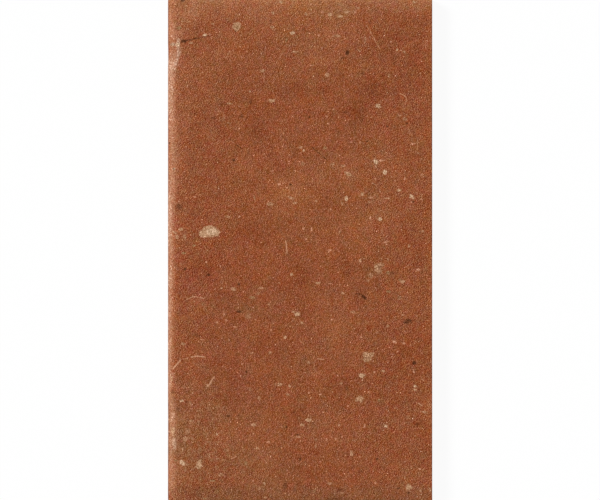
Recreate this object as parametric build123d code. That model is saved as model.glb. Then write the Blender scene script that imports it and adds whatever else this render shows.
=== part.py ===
from build123d import *
import math
import os

# A fired clay floor tile, lying face up on its keyed back.
# X runs from the rounded long edge to the cut one, Y along the length, Z up out of the face.
# The origin is the middle of the back. Lengths are in millimetres and angles in degrees.

# The slab
face_length = 300.0
face_width = 158.0
thickness = 11.0

# The rounded long edge: a roll that runs out into the face over a faint shoulder
nose_radius = 6.0
shoulder_run = 8.0
shoulder_angle = 2.5

# The pressed ends are eased all the way round, from the back over the roll and along the face
end_arris_radius = 0.9

# The three pressed edges are eased where they meet the back
back_arris_radius = 0.8

# The cut long edge has only the fine arris that a rubbing stone leaves round it after the saw
cut_arris_radius = 0.4

# The keyed back: shallow drafted pockets with cut corners that the bedding mortar grips, ribs between
key_pocket = 15.0
key_rib = 3.5
key_margin = 6.0
key_depth = 0.8
key_corner_cut = 2.0
key_draft = 25.0


def nosed_profile():
    """The section across the width: rounded edge, shoulder, flat face, cut edge, flat back."""
    left, right = -face_width / 2, face_width / 2
    shoulder_slope = math.radians(shoulder_angle)
    corner_run = nose_radius + shoulder_run
    corner_height = thickness - corner_run * math.tan(shoulder_slope)
    run_out_radius = shoulder_run / 2 / math.tan(shoulder_slope / 2)
    outline = FilletPolyline(
        (left, 0),
        (left, corner_height),
        (left + corner_run, thickness),
        (right, thickness),
        (right, 0),
        radius=[0, nose_radius, run_out_radius, 0, 0],
        close=True,
    )
    return Plane.XZ * make_face(outline)


def ease_ends(tile):
    """Rounds the outline of both ends, except along the back and down the cut edge."""
    on_ends = tile.edges().filter_by_position(Axis.Y, -face_length / 2, -face_length / 2)
    on_ends += tile.edges().filter_by_position(Axis.Y, face_length / 2, face_length / 2)
    on_back = on_ends.filter_by_position(Axis.Z, 0, 0)
    on_cut = on_ends.filter_by_position(Axis.X, face_width / 2, face_width / 2)
    return fillet(on_ends - on_back - on_cut, end_arris_radius)


def ease_back(tile):
    """Rounds the back along the three pressed edges."""
    around_back = tile.faces().sort_by(Axis.Z)[0].edges()
    on_cut = around_back.sort_by(Axis.X)[-1]
    return fillet(around_back - [on_cut], back_arris_radius)


def ease_cut(tile):
    """Takes the sharpness off all round the cut edge."""
    cut_wall = tile.faces().sort_by(Axis.X)[-1]
    return fillet(cut_wall.edges(), cut_arris_radius)


def pockets_along(size):
    """How many pockets fit along a side, with a plain margin at both ends."""
    return math.floor((size - 2 * key_margin + key_rib) / (key_pocket + key_rib))


def key_pockets():
    """The pockets of the back, in rows and columns centred on the tile, drafted so the die lets go."""
    square = Rectangle(key_pocket, key_pocket)
    mouth = chamfer(square.vertices(), key_corner_cut)
    pocket = extrude(mouth, amount=key_depth, taper=key_draft)
    pitch = key_pocket + key_rib
    places = GridLocations(pitch, pitch, pockets_along(face_width), pockets_along(face_length))
    return [place * pocket for place in places]


slab = extrude(nosed_profile(), amount=face_length / 2, both=True)
eased_slab = ease_cut(ease_back(ease_ends(slab)))
tile_body = eased_slab - key_pockets()
tile_body.label = "tile_body"

os.makedirs("parts", exist_ok=True)
export_step(tile_body, "parts/tile_body.step")
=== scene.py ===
import bpy
import numpy as np
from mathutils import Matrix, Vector


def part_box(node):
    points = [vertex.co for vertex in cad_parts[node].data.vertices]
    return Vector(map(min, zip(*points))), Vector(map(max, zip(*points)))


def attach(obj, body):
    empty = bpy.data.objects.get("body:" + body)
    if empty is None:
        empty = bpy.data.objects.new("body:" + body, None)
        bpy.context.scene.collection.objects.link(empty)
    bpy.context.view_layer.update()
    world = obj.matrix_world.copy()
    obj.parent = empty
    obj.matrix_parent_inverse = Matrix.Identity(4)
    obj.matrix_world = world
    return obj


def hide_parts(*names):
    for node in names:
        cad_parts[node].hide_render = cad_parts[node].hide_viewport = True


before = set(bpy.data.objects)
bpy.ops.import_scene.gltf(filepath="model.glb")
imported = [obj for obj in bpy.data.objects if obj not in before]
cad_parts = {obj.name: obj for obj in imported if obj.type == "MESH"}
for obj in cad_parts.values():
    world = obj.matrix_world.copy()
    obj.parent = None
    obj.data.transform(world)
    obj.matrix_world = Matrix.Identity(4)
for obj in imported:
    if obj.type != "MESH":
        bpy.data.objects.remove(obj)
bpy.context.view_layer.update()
low, high = [np.array(corner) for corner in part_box("tile_body")]
millimetre = 0.001

# The picture: 600 by 500 pixels, seen straight down, with the tile filling its height
picture = dict(
    width=600,
    height=500,
    tileLeft=168,  # pixel column of the rolled edge
    tileHeight=502.2,  # pixels, a little over the picture's height so that both ends reach its border
)
picture["pixel"] = (high[1] - low[1]) / picture["tileHeight"]  # metres of tile face in one pixel


# The pixel column and row that a place on the face shows at, counted from the middle of the picture
def inPicture(x, y):
    return picture["width"] / 2 + x / picture["pixel"], picture["height"] / 2 - y / picture["pixel"]


tileShape = dict(
    noseRadius=6.0 * millimetre,  # the rolled long edge
    shoulderRun=8.0 * millimetre,  # where the roll runs out into the face
    shoulderAngle=np.radians(2.5),
    endArris=0.9 * millimetre,
    cutArris=0.4 * millimetre,
    backArris=0.8 * millimetre,
    faceStep=0.70 * millimetre,  # mesh spacing across the face
    rowStep=0.86 * millimetre,  # mesh spacing along the face
    rollPoints=16,  # points along each piece of the section
    slopePoints=8,
    runPoints=12,
    cutPoints=4,
    endPoints=6,  # rows over the arris of an end
    arrisTurns=(30, 60, 90),  # degrees of the rings round the arris of the back
    skirtLevels=(0.35, 0.7, 1.0),  # shares of the way down an edge to the arris of the back
    waveHeight=0.05 * millimetre,  # how far the pressed face is from flat
    waveLengths=(31, 44, 27, 68, 53, 19),  # millimetres
    waveMargin=0.10 * millimetre,  # keeps the waves under the plain form
    waveSeed=7,
    cutFade=(0.2 * millimetre, 2.2 * millimetre),  # from the cut edge, where the relief starts and is full
    footFade=(0.35, 0.85),  # the same, as shares of the height
)


# Section: rolled arc, sloping shoulder, run-out arc, flat face and a fine arc at the cut edge, with outward
# normals, where an arc is its middle plus its radius times the cosine and sine of a turn
def sectionAcross(shape):
    nose, slope = shape["noseRadius"], shape["shoulderAngle"]
    left, right, top = low[0], high[0], high[2]
    cornerRun = nose + shape["shoulderRun"]
    cornerHeight = top - cornerRun * np.tan(slope)
    noseHeight = cornerHeight + nose * np.tan(slope) - nose / np.cos(slope)
    runOut = shape["shoulderRun"] / 2 / np.tan(slope / 2)
    rollTurn = np.linspace(np.pi, np.pi / 2 + slope, shape["rollPoints"])
    rollX = left + nose + nose * np.cos(rollTurn)
    rollZ = noseHeight + nose * np.sin(rollTurn)
    runTurn = np.linspace(slope, 0, shape["runPoints"])
    runX = left + cornerRun + shape["shoulderRun"] / 2 - runOut * np.sin(runTurn)
    runZ = top - runOut + runOut * np.cos(runTurn)
    slopeX = np.linspace(rollX[-1], runX[0], shape["slopePoints"])[1:-1]
    slopeZ = np.linspace(rollZ[-1], runZ[0], shape["slopePoints"])[1:-1]
    fine = shape["cutArris"]
    flatCount = int((right - fine - runX[-1]) / shape["faceStep"])
    flatX = np.linspace(runX[-1], right - fine, flatCount + 1)[1:]
    cutTurn = np.linspace(np.pi / 2, 0, shape["cutPoints"])[1:]
    cutX = right - fine + fine * np.cos(cutTurn)
    cutZ = top - fine + fine * np.sin(cutTurn)
    x = np.concatenate([rollX, slopeX, runX, flatX, cutX])
    z = np.concatenate([rollZ, slopeZ, runZ, np.full(len(flatX), top), cutZ])
    turn = np.concatenate([
        rollTurn, np.full(len(slopeX), np.pi / 2 + slope), np.pi / 2 + runTurn,
        np.full(len(flatX), np.pi / 2), cutTurn,
    ])
    return x, z, np.cos(turn), np.sin(turn)


# Rows along the length: each end rolls over by an angle a, with inset r - r cos a and reach r sin a
def rowsAlong(shape):
    radius = shape["endArris"]
    roll = np.linspace(np.pi / 2, 0, shape["endPoints"])
    count = int((high[1] - low[1] - 2 * radius) / shape["rowStep"])
    middle = np.linspace(low[1] + radius, high[1] - radius, count + 1)[1:-1]
    y = np.concatenate([
        low[1] + radius - radius * np.sin(roll), middle, high[1] - radius + radius * np.sin(roll[::-1]),
    ])
    turn = np.concatenate([-roll, np.zeros(len(middle)), roll[::-1]])
    return y, radius - radius * np.cos(turn), turn


# Pale inclusions: column, row, width, height in pixels, and a turn in degrees where it shows
flecks = dict(
    olive=[
        (252, 297.6, 6.4, 3), (379, 400.4, 3, 3), (179.3, 28, 4.6, 3.6), (237.2, 27, 3.2, 3.8),
        (194, 245.5, 3.4, 2.4), (254.4, 198, 1.8, 5), (286.6, 40, 2, 5, -20), (183.6, 253, 5, 2.6),
        (213, 480.5, 6, 2.2), (388, 272.6, 4, 2.6), (315, 490, 1.4, 5, -30), (325, 148, 4, 3),
        (246, 463, 3, 4.4), (175.6, 460.6, 4, 2), (388.4, 291.4, 4.6, 3), (205, 498.6, 4, 2),
        (400, 280, 2.4, 2.4),
    ],
    dun=[
        (374, 184, 5, 2.2, -20), (315.4, 440, 3, 2.4), (254.4, 449, 2.6, 2.6), (229, 123, 5, 1.8),
        (221, 474.5, 5.4, 4), (404, 52, 3.4, 2.4), (369, 202, 3, 2.4), (340, 232, 2.8, 4),
        (337, 36, 7, 3.4), (365, 40, 1.6, 7), (405, 119, 4.6, 3.4), (302.6, 163.6, 4, 4),
        (409, 246, 2.6, 3.6), (370.6, 275.6, 4.4, 5.4), (368, 280.6, 3, 2.4), (388, 259.6, 1.6, 3.4),
        (377, 332.4, 2.6, 1.6), (259, 398, 3, 3.8), (288, 394.4, 4.2, 2.4), (187.6, 431, 5, 5.6),
        (341, 383.4, 3.6, 2.8), (388, 326, 3.4, 3), (383, 265, 2.6, 4), (376.2, 166, 2, 4),
        (190, 402.6, 3, 3.6), (199, 421.6, 3.6, 2.6), (354.6, 440, 5, 1.6), (258, 293.6, 4.6, 2.6),
        (248, 316.6, 6, 4.4), (250, 389, 2.8, 3.6), (207.3, 386.4, 4, 4.6), (339, 425, 2.8, 2.2),
        (330, 483.5, 7, 2.6), (424.4, 412, 7, 2.2, -8), (399.4, 297.6, 4.4, 4.4), (269, 304, 2.8, 2.8),
    ],
    grey=[(173, 44.4, 5, 3.4), (174, 169, 2.6, 2.6)],
    pink=[
        (370.2, 217.8, 2, 4), (303.7, 228.6, 2.6, 3), (223.8, 314, 1.2, 4), (217, 322, 3, 1.8),
        (403.8, 343.4, 3, 2.2), (397.4, 351.4, 2, 1.4), (361, 337, 2.2, 2), (380.6, 160.6, 5, 1.8, 15),
        (412.2, 144, 3.8, 2.2, 10), (279, 184, 3.4, 2.4), (386, 242, 5, 1.4, 15), (322, 12, 2.4, 2.4),
        (312, 65.4, 4, 1.2), (239, 129, 2, 2), (309, 392.4, 2, 2), (326.6, 439.6, 2, 3, 30),
        (335.6, 438.6, 2.4, 2.4), (342, 437.4, 2, 2.6), (281.6, 427, 2, 1.8), (420, 469, 2.4, 2),
        (375.6, 483, 2, 1.6), (360, 457, 2, 1.6), (271, 330, 2, 2), (197, 325, 1.6, 1.6),
        (186, 178.6, 1.4, 1), (330, 283.6, 3, 1.4), (333.4, 109.4, 1.6, 1.6), (202, 339.4, 3, 1.2),
        (423, 379.6, 3.4, 1, -35), (253, 481, 1.2, 1.4), (348, 406, 1.4, 1.2), (323, 412, 2, 1.6),
        (209.6, 34.6, 2, 1.8), (421, 199.3, 2.6, 1.8), (272, 171, 2.8, 2), (195, 197, 2.4, 2),
        (345, 260, 2, 1.6), (246, 191, 2.2, 1.8),
    ],
    rose=[
        (311.5, 229.4, 1.6, 4), (226, 320, 3, 1.6), (394.6, 342, 4.2, 2.4, -25), (374.4, 372, 2.2, 2.2),
        (369, 392.2, 2, 1.6), (306, 239.2, 2.4, 1.6), (330, 250, 4, 1.6), (418.4, 269.6, 4.4, 2.2, 15),
        (319, 35, 2, 2), (218.6, 111, 3.4, 1.4), (320.6, 394.4, 3, 1.4), (413.6, 371.6, 1.8, 3.6, 15),
        (364, 426.6, 1.6, 3.6, -15), (268.6, 442, 3.4, 1.4, 20), (235, 327, 3, 1.4),
        (206.2, 262, 1.8, 1.8), (403, 315, 3, 1.4), (400.2, 115.4, 2, 1.6), (331, 209.4, 1.8, 1.6),
        (375.6, 178.8, 1.8, 1.6), (326.4, 116.4, 2, 2), (360.4, 142.4, 2, 2), (421.5, 174.6, 2.2, 2.2),
        (404.6, 179, 3, 1.8, 25), (371, 197.6, 4.4, 1.4), (331.8, 319.4, 2.8, 2), (355, 12.4, 2.2, 2.2),
        (239.5, 216.5, 1.8, 1.8),
    ],
    tan=[
        (272, 27, 4, 3), (262.8, 70.8, 5.4, 2.6), (253.4, 424.6, 5, 3.4), (228, 217, 5, 2.2),
        (342, 203.6, 2.2, 5), (300.5, 147.4, 4, 2.6), (316, 201, 3, 1.6), (221.6, 288, 2.8, 2.4),
        (295.4, 51.8, 8, 2.2), (213, 24, 3, 2), (389, 76, 2.6, 3.6), (333, 164, 4, 2.6),
        (343, 166, 4, 2.6), (423, 231, 2.4, 2.4), (359.5, 51, 2.4, 2.2), (251.5, 353, 3.6, 1.8),
        (191, 421, 3.6, 2.4), (209.4, 455, 1.8, 4), (217.6, 459, 3.8, 1.6), (259.6, 488.4, 3, 2.4),
        (185, 470, 1.6, 3.6), (187.4, 464.4, 3.4, 2.4), (342, 493, 4, 2.2), (182.6, 449, 1.4, 3.6),
        (315.6, 446, 2, 3.6), (185, 237, 2.6, 4.6), (174.6, 232.4, 5, 2.4, -20), (380.4, 271.4, 4, 3.6),
        (270, 204, 7, 4), (291, 197.8, 7, 2.8, -25), (295, 203, 4, 2.6), (279.6, 384.4, 5.6, 3.8),
        (383, 371, 4.4, 2.4), (351.5, 453.4, 3.2, 6), (185, 439, 4.6, 4.8), (293.8, 312, 3.4, 2.2),
        (233.7, 289, 5.6, 3.8), (347, 12, 6, 3.4), (327, 75, 4.6, 4.4), (273, 13, 3, 3),
        (306, 14, 3.6, 3.6), (387, 198.2, 4, 1.8), (261, 288, 4.6, 2.6), (342.6, 293.2, 3.4, 2.6),
        (353, 312, 4.6, 2.6), (183, 344, 5, 2.4), (360, 260.7, 3.4, 4), (402.6, 281.6, 5.6, 3.4),
        (279.4, 283, 1.8, 1.6), (334.9, 492.8, 1, 5), (430.4, 490, 3, 3.6), (308.6, 362.4, 3.8, 2.8),
        (420.6, 490.8, 2.6, 3), (177, 237, 3.4, 4.4), (358, 8, 3.4, 2.4),
    ],
    cream=[
        (281, 2, 3.4, 3.4), (376.6, 267, 3.4, 4), (348.4, 174, 7.6, 3.4, -25), (345, 172.4, 2.6, 2),
        (275.6, 384, 3, 1.8), (257, 448.4, 3.4, 2.6), (302, 322.6, 3, 2.2), (308.6, 420, 6.4, 3.4),
        (181, 229.4, 4.6, 3, 15), (329.6, 14.6, 3.4, 4), (340, 16.4, 5.4, 2.4), (229.6, 103.6, 5, 1.8),
        (362, 194, 3.4, 3.2), (318, 283, 4.4, 2.4), (289.6, 386, 2.4, 2.8), (302, 425, 4.4, 2),
        (285, 337.4, 2.8, 3.4), (399, 190.2, 4.6, 2.4), (414, 2, 3, 2.4), (171.6, 377.4, 2.2, 1.8),
        (171.8, 380, 2.2, 1.8), (265.4, 497.4, 2.6, 2.2), (415, 389.8, 3.4, 2.4),
        (270, 352.4, 2.8, 2.8), (190.8, 43, 4, 1.8), (297.2, 437.2, 5, 1, 8),
    ],
    bright=[
        (212, 231.6, 11, 6.4), (292.4, 33, 5, 2.8, 5), (204.8, 35, 4.4, 2.6), (385, 172.2, 4.2, 4.8),
        (303.4, 150.7, 1.8, 2.4), (291.6, 274.4, 2.6, 2.6), (415, 386.2, 3, 2.4),
        (346.4, 199, 3.2, 5.4), (403.4, 282, 2.4, 1.6), (380, 219, 4, 3.6), (264.6, 483.5, 2.4, 2.2),
        (182, 400.8, 3.8, 2.2), (397, 49.8, 2.2, 2.2), (249.7, 91.5, 1.8, 1.8), (217, 434.4, 1.8, 2),
    ],
)
# Place of each on the fleck colours' scale
fleckLook = dict(olive=0.0, dun=0.15, grey=0.3, pink=0.4, rose=0.5, tan=0.65, cream=0.8, bright=1.0)

# The larger inclusions: place on the fleck colours' scale, and an outline in pixels
fleckOutlines = [
    (0.82, [(198.8, 235), (199.6, 231), (202.5, 229.5), (203.5, 227), (207.7, 225.6), (211.5, 225.5),
            (215, 227), (218.5, 229.3), (220, 231.6), (218.8, 235.5), (215.4, 236.6), (209.6, 237),
            (204.6, 237.6), (200.8, 237)]),
    (0.76, [(362.5, 353), (365.6, 352.2), (369.8, 353), (374.8, 352.2), (373.7, 355.7), (371.8, 357.2),
            (371.4, 359.5), (368.7, 361.8), (364.5, 361.8), (362.5, 359.5), (364.5, 357.4),
            (362.2, 355.3)]),
    (0.78, [(232.6, 24.7), (234.9, 22.4), (238, 22), (240.3, 23.5), (241, 26.6), (239.5, 28.9),
            (238, 31.6), (236, 31.2), (233.8, 30), (232.6, 27.8)]),
    (0.96, [(180.2, 460.5), (183.7, 460.5), (185.2, 462.8), (185.1, 464.7), (183.7, 466),
            (181.4, 464.3), (179.5, 463.5), (179, 462)]),
    (0.84, [(198.3, 460), (200.6, 459.7), (202, 461.2), (201.4, 463.9), (203, 465.5), (200.6, 467.8),
            (198.7, 469.7), (196, 467.8), (196, 464.7), (197.2, 462.4)]),
    (1.0, [(382.4, 424), (386.4, 424.6), (388, 426.9), (386.2, 428.1), (384, 426.9)]),
    (0.78, [(408.8, 483.2), (410.3, 485.8), (413.2, 487), (412.2, 488.9), (409.5, 489.3),
            (407.6, 491.2), (406.5, 488.9), (404.2, 487.4), (406, 485.5)]),
    (1.0, [(373.4, 159.6), (376.6, 159.2), (378.8, 161), (378, 164), (374.8, 164.4)]),
    (0.88, [(296, 312), (298.7, 311.7), (300.4, 314), (298.7, 316), (295.6, 316), (294.5, 314.4)]),
    (0.72, [(359.5, 395), (363, 397.4), (362.8, 400.5), (361.5, 403.2), (359.2, 400.8), (355.7, 402),
            (355.3, 399.7), (357.6, 396.6)]),
    (0.92, [(358.8, 373.8), (364.5, 373.8), (365.2, 376.2), (362.2, 378.6), (360, 377), (358.8, 375.8)]),
    (0.94, [(408.8, 195.5), (411.5, 194.4), (413.8, 196.3), (414.5, 198.6), (413, 199.8),
            (411.5, 198.2), (409.5, 197.5)]),
    (0.8, [(269, 98.7), (275.2, 99), (274.8, 101), (272.5, 102.2), (269.5, 101.8)]),
    (1.0, [(375.2, 104.8), (377.4, 104), (379.6, 104.6), (382.8, 106.8), (378.6, 108.2), (376, 107)]),
    (1.0, [(175.3, 43), (177, 42.2), (178.8, 42.6), (179.6, 44.5), (179.3, 46.6), (176.5, 46.2),
            (175, 45.4)]),
    (0.65, [(374, 265), (378, 263), (381.6, 262.6), (381.4, 267), (380.6, 272), (379, 275), (375, 271)]),
    (0.78, [(170, 427.4), (174.6, 428), (175.4, 431), (173, 433), (170, 432)]),
    (0.33, [(172, 438), (175.6, 438.6), (176.6, 445), (175.6, 450.4), (172.6, 449.6), (171.4, 443)]),
    (0.36, [(170, 412), (174.6, 412.6), (175, 418), (171, 419)]),
]

# Dark holes and smudges: column, row, width, height in pixels, and a turn in degrees where it shows
pits = [
    (347.5, 52.7, 3.6, 5, -20), (184, 41.2, 4.8, 3), (234, 160, 2.6, 2.6), (290.4, 184.6, 2.2, 2),
    (238.8, 311.6, 4.8, 2.4), (185, 269, 2.4, 2.4), (208.7, 275, 2.6, 2.4), (239, 284.2, 2.4, 2.2),
    (364.2, 297.3, 5, 2.8, -45), (409.4, 320.4, 4.6, 2.2), (406.4, 322.6, 3.6, 2),
    (414.5, 363.1, 3.8, 4), (182.6, 0.4, 4, 2.2), (228.4, 416.2, 2.8, 1.8), (300.4, 459, 2, 3),
    (377, 459, 2.2, 2.6), (399, 488.3, 2.8, 1.6), (235.5, 31.4, 1.4, 1.4), (408.4, 493, 2.2, 1.8),
    (413.4, 202, 2, 1.8), (169.2, 143, 1.6, 1.6), (407, 123.6, 1.8, 2), (309.5, 117, 1.8, 1.8),
    (387.5, 126.4, 1.8, 1.6), (367.5, 141.4, 1.8, 1.6), (286.6, 427, 1.6, 2.4),
    (246.4, 371.6, 1.6, 2.2),
]
smudges = [
    (179, 207, 7, 6), (340, 490, 6, 3), (285.6, 486, 4, 8), (250.8, 102, 3.6, 4),
    (213.6, 118, 3.6, 2.8), (241.7, 116, 3, 3.6), (271, 21, 2.6, 4.4), (392.6, 272.8, 5, 2.4, -10),
    (366.6, 357.7, 5, 1.2), (379.6, 267.4, 2.2, 3), (172.7, 391.7, 2.8, 4.4), (178, 409, 3, 4.6),
    (345, 112, 3.6, 2.4), (343, 58, 4, 3), (224, 103.8, 4, 1.6), (347, 387.4, 3.6, 4.6),
    (417, 424, 3.6, 2.8), (294.5, 412, 2.8, 2.6), (186.4, 402.4, 3, 2), (390, 310, 1.8, 2.8),
    (361.6, 471, 2.6, 3.4), (336, 498.6, 16, 1.8), (304, 29, 2.6, 2.4), (415, 66, 2.6, 1.6),
    (363, 73, 3, 3), (407.8, 321.6, 9, 5),
]

# Cracks and scratches: half their width in pixels, less than nothing for the faintest,
# and the points they run through
darkLines = [
    (0.7, [(181.6, 42), (187.5, 40.3)]),
    (0.4, [(187.5, 40.3), (191, 40)]),
    (0.55, [(192.4, 39.2), (197, 38.6), (201, 37.6)]),
    (0.3, [(201, 37.6), (206, 36.6), (209.5, 35.4)]),
    (0.35, [(312, 147.3), (327.3, 160.2)]),
    (0.4, [(236, 144.4), (242, 149)]),
    (0.4, [(356.6, 293.5), (360, 294.2)]),
    (0.7, [(361.4, 294.4), (366.4, 299)]),
    (0.0, [(366.4, 299), (370.6, 303)]),
    (0.2, [(390, 271.8), (394.2, 273.6)]),
    (0.4, [(294.5, 435.2), (299, 434.6)]),
]
lightLines = [
    (0.4, [(366.5, 26), (369.7, 30), (371.5, 34.2), (373.5, 37), (375.5, 41.5), (378.5, 46), (380, 48.5)]),
    (0.55, [(187, 299.2), (193, 296.7), (198, 297.2), (204, 298.6)]),
    (0.9, [(173.4, 368.4), (176.6, 364.4), (180.2, 360.4)]),
    (0.3, [(182.5, 359), (189, 357.8)]),
    (0.8, [(191.3, 357), (197, 356), (203.8, 356.8)]),
    (-0.15, [(315.4, 238), (315.8, 300)]),
    (0.0, [(316, 300), (316.5, 336)]),
    (0.1, [(314.2, 352), (314.4, 376)]),
    (-0.1, [(314.4, 376), (314.8, 405)]),
    (0.1, [(417.4, 98), (417.6, 112)]),
    (0.3, [(417.4, 138), (417.7, 153)]),
    (-0.1, [(360, 486), (360.4, 500)]),
    (0.1, [(296, 323), (297, 338)]),
    (0.6, [(317.8, 358.6), (323.4, 359.6)]),
    (0.6, [(418.4, 403), (422, 406)]),
    (0.5, [(231, 459), (236.4, 456.4)]),
    (0.2, [(188, 473), (199, 463.5)]),
    (0.7, [(285.6, 240.6), (286.4, 246), (287, 253)]),
    (0.3, [(404, 268), (413.4, 262)]),
    (0.9, [(213.8, 377), (211, 381.6), (208.4, 386)]),
    (0.3, [(225.6, 444), (228.6, 451)]),
    (0.4, [(225.6, 58.5), (230, 51)]),
    (0.4, [(232.6, 142), (235.4, 144.2)]),
    (0.35, [(223.7, 112), (224, 120)]),
    (0.5, [(400, 93.6), (403.4, 94.8), (406, 97.6), (407, 100.6), (405.4, 102)]),
    (0.2, [(409, 45), (418, 40)]),
    (0.5, [(231.5, 487.6), (231.6, 491)]),
    (0.3, [(216, 405), (220, 418)]),
    (0.25, [(282.6, 52.4), (276, 63.4)]),
    (0.2, [(264, 72), (264.2, 82)]),
    (0.15, [(350, 365.2), (358, 365.4)]),
    (0.4, [(300, 340.6), (303.6, 344)]),
    (0.2, [(420, 411), (428, 413.6)]),
]

# Clouds of the firing: column, row, half width, half height in pixels, and levels out of 255 that they add
clouds = dict(
    tone=[
        (255, 20, 30, 22, 8), (335, 33, 28, 20, 8), (230, 45, 25, 20, 5), (286, 193, 24, 11, 9),
        (345, 170, 22, 14, 8), (245, 170, 14, 12, 4), (380, 163, 14, 10, 5), (400, 185, 20, 15, 3),
        (355, 230, 28, 16, 5.5), (383, 215, 16, 14, 4), (340, 325, 14, 16, 7), (325, 428, 12, 12, 5),
        (225, 440, 18, 14, 5.5), (265, 455, 14, 12, 5), (430, 403, 8, 8, 9), (415, 482, 14, 10, 5),
        (195, 360, 10, 12, 6), (190, 16, 11, 9, 11), (182, 33, 5, 9, 8), (181, 50, 4, 12, 8),
        (203, 66, 18, 16, 8), (303, 179, 18, 16, 8), (315, 58, 28, 24, 4), (258, 424, 18, 20, 5),
        (382, 135, 12, 10, 4), (284, 214, 12, 10, 4), (200, 305, 12, 10, 4), (280, 136, 12, 12, 4),
        # the long band at column 180, rows 10 to 210, is painted light beside the roll
        (180, 110, 7, 100, 5), (198, 8, 12, 8, 6), (258, 130, 12, 16, -10), (296, 90, 32, 8, -8),
        (374, 90, 18, 11, -14), (357, 111, 11, 12, -11), (255, 232, 22, 12, -8),
        (300, 277, 11, 16, -10), (345, 268, 12, 9, -10), (200, 268, 18, 14, -8),
        (228, 298, 14, 12, -5.5), (412, 352, 24, 26, -5), (430, 366, 8, 14, -5), (395, 378, 20, 18, -3),
        (228, 397, 14, 9, -11), (272, 345, 20, 18, -5), (335, 388, 18, 10, -5.5),
        (300, 470, 18, 18, -6), (200, 490, 14, 10, -4), (240, 494, 14, 10, -4), (392, 45, 22, 18, -5.5),
        (415, 70, 18, 14, -4), (205, 335, 14, 10, -3), (405, 240, 16, 14, -4), (325, 210, 12, 12, -3),
        (250, 5, 14, 9, -7), (421, 30, 12, 12, -4), (225, 374, 22, 16, -5), (268, 385, 14, 10, -4),
        (299, 416, 12, 13, -7), (215, 470, 20, 8, -5), (420, 262, 10, 9, -5), (368, 268, 10, 8, -5),
        # the long band at column 180, rows 250 to 410, takes back some of the painted light beside the roll
        (300, 311, 12, 10, -4), (235, 321, 10, 14, -4), (180, 330, 8, 80, -3),
        (369, 327.6, 2, 2.4, -18), (382.6, 76.2, 1.8, 1.8, -24), (416.6, 424, 2.6, 2.2, -18),
        (340, 489.6, 3.4, 2, -16), (194, 494, 5, 4, -6), (240.6, 493, 3, 2, -6), (407, 8, 2, 2, -10),
        (173, 3, 5, 8, -12), (185, 3, 6, 6, -13), (168.5, 432, 2, 24, -12), (175, 364, 5, 8, -6),
        (372, 372, 10, 30, -4), (395, 405, 25, 14, -3), (425, 430, 12, 25, -3), (205, 361, 10, 9, 4),
        (195, 95, 12, 10, 3),
    ],
    redder=[
        (290, 112, 40, 18, 2.5), (240, 260, 42, 30, 3), (210, 190, 20, 20, 2), (415, 342, 14, 14, 3),
        (190, 265, 14, 16, 3), (432, 250, 8, 300, 3), (205, 55, 14, 18, 2), (369, 327.6, 2, 2.4, 10),
        (382.6, 76.2, 1.8, 1.8, 6), (340, 489.6, 3.4, 2, 6), (407, 8, 2, 2, -12),
        (180, 420, 16, 40, -4), (340, 10, 16, 10, -9), (220, 95, 12, 24, -3), (325, 155, 14, 12, -4),
        (350, 175, 9, 9, -4), (378, 165, 10, 14, -5), (373, 200, 9, 16, -6), (378, 273, 12, 10, -6),
        (365, 295, 8, 8, -5), (250, 308, 10, 12, -6), (212, 388, 10, 9, -7), (254, 418, 14, 11, -8),
        (215, 410, 14, 12, -5), (186, 445, 26, 30, -7), (240, 458, 16, 12, -8), (250, 485, 30, 12, -3),
        (310, 362, 12, 12, -5), (390, 45, 10, 9, -4), (300, 45, 24, 22, -4), (312, 420, 18, 14, -5),
        (285, 465, 22, 14, -4), (360, 285, 12, 10, -3), (330, 335, 14, 12, -3), (382, 340, 10, 22, -3),
        (400, 420, 12, 10, -3),
    ],
    lime=[
        (198, 440, 34, 36, 1.0), (245, 465, 34, 26, 0.8), (215, 402, 22, 14, 0.7),
        (420, 410, 14, 12, 0.6), (180, 15, 12, 22, 0.5), (378, 205, 10, 18, 0.4),
        (250, 303, 16, 12, 0.4), (195, 302.6, 6, 3, 0.9),
    ],
    yellower=[
        (288, 195, 26, 13, 4), (310, 15, 36, 20, 4), (350, 205, 50, 50, 2), (335, 328, 16, 14, 2.5),
        (285, 243, 14, 12, 4), (240, 200, 12, 12, 3), (322, 66, 12, 12, 2.5), (330, 245, 12, 20, 2),
        (432, 250, 8, 300, 3), (195, 282, 26, 14, -4), (395, 95, 14, 12, -4), (262, 125, 14, 12, -3),
        (238, 385, 16, 14, -5), (290, 88, 16, 9, -3), (370, 100, 10, 9, -3), (335, 145, 12, 10, -4),
        (375, 315, 10, 12, -3), (235, 350, 14, 14, -2),
    ],
)

# The rolled edge's wear and painted highlight down its length: row, width in pixels that the light catches,
# strength
edgeWearAndHighlight = [
    (0, 4, 0.1), (8, 5, 0.12), (16, 6, 0.35), (24, 8, 0.45), (36, 11, 0.5), (42, 10, 0.3),
    (49, 9, 0.35), (57, 9, 0.7), (62, 9, 1.05), (68, 7, 1.05), (80, 6, 0.9), (100, 6, 0.92),
    (112, 6, 0.75), (122, 8, 0.6), (140, 9, 0.45), (165, 9, 0.5), (180, 7.5, 0.7), (195, 6.4, 0.75),
    (204, 5, 0.85), (225, 5, 0.85), (245, 4.8, 0.8), (265, 5, 0.65), (280, 5, 0.85), (292, 4, 0.65),
    (305, 4, 0.88), (318, 3.6, 0.75), (330, 3.8, 0.7), (350, 4, 0.85), (365, 3.4, 0.65),
    (382, 3.6, 0.75), (392, 3.4, 0.6), (402, 6, 0.5), (415, 7.5, 0.55), (430, 8, 0.55), (445, 7, 0.6),
    (455, 5, 0.45), (470, 7, 0.45), (482, 7.5, 0.55), (490, 6, 0.15), (500, 6, 0.1),
]

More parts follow.
